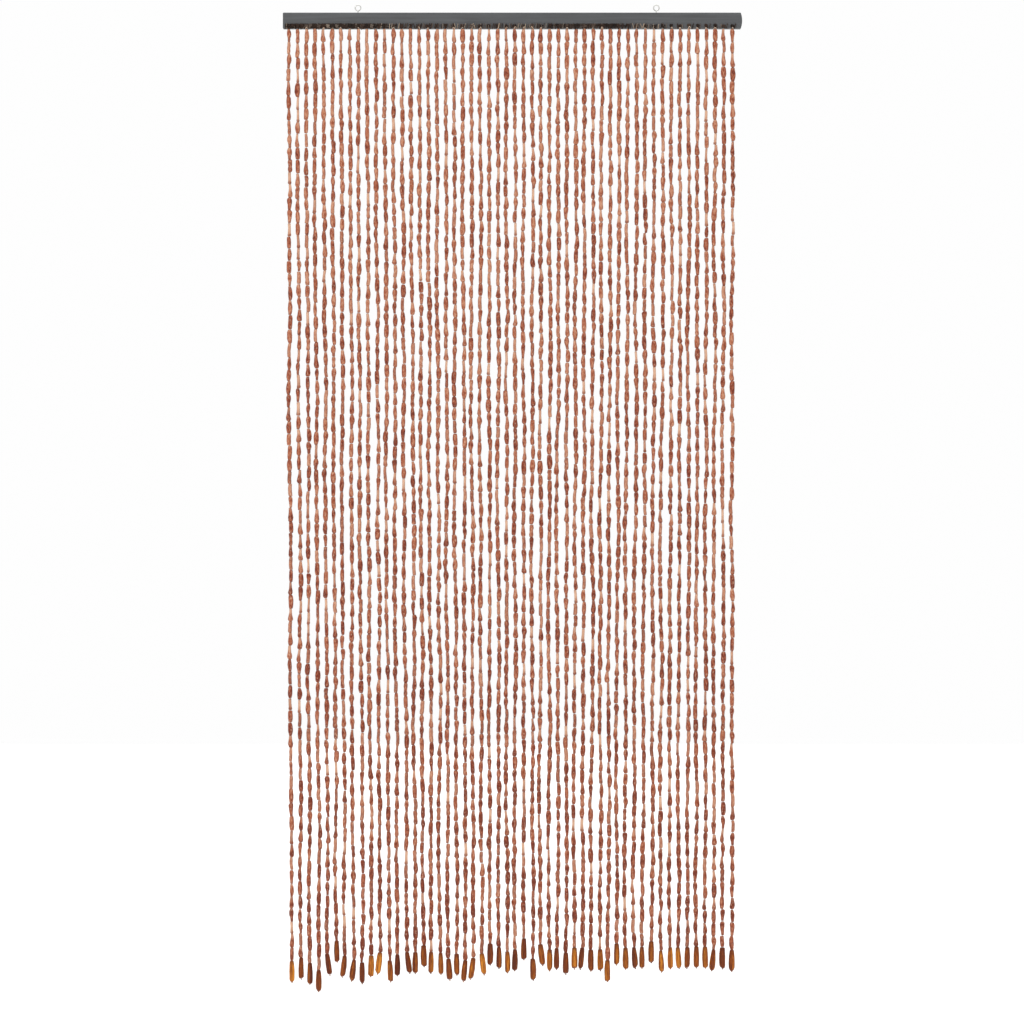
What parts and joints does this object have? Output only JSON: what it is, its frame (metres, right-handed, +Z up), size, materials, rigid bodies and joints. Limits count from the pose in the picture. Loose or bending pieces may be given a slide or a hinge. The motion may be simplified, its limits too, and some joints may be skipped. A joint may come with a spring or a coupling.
{
  "type": "bead curtain with hanging batten",
  "caption": "Doorway curtain of wooden bead strings with long end beads, hung from a painted batten by screw eyes.",
  "frame": {"origin": "the middle of the line through the centres of the two screw-eye rings, half way through the batten's depth", "axes": "+Z up, +X to the right along the batten as seen from the front, and the front faces -Y"},
  "size_m": [0.9, 0.0239, 1.9352],
  "materials": {
    "batten_paint": "satin grey paint over a planed softwood bar, faint grain",
    "eye_steel": "bright zinc-plated wire",
    "bead_wood": "terracotta-stained small wooden beads, light sheen",
    "end_bead_wood": "golden-brown stained long beads with dark grain, light sheen",
    "heading_cord": "dark knotted cord with paler flecks",
    "string_thread": "fine pale twisted thread"
  },
  "bodies": {
    "root": {"header_batten": "batten_paint", "screw_eye_left": "eye_steel", "screw_eye_right": "eye_steel", "string_curtain": "bead_wood"}
  },
  "joints": []
}
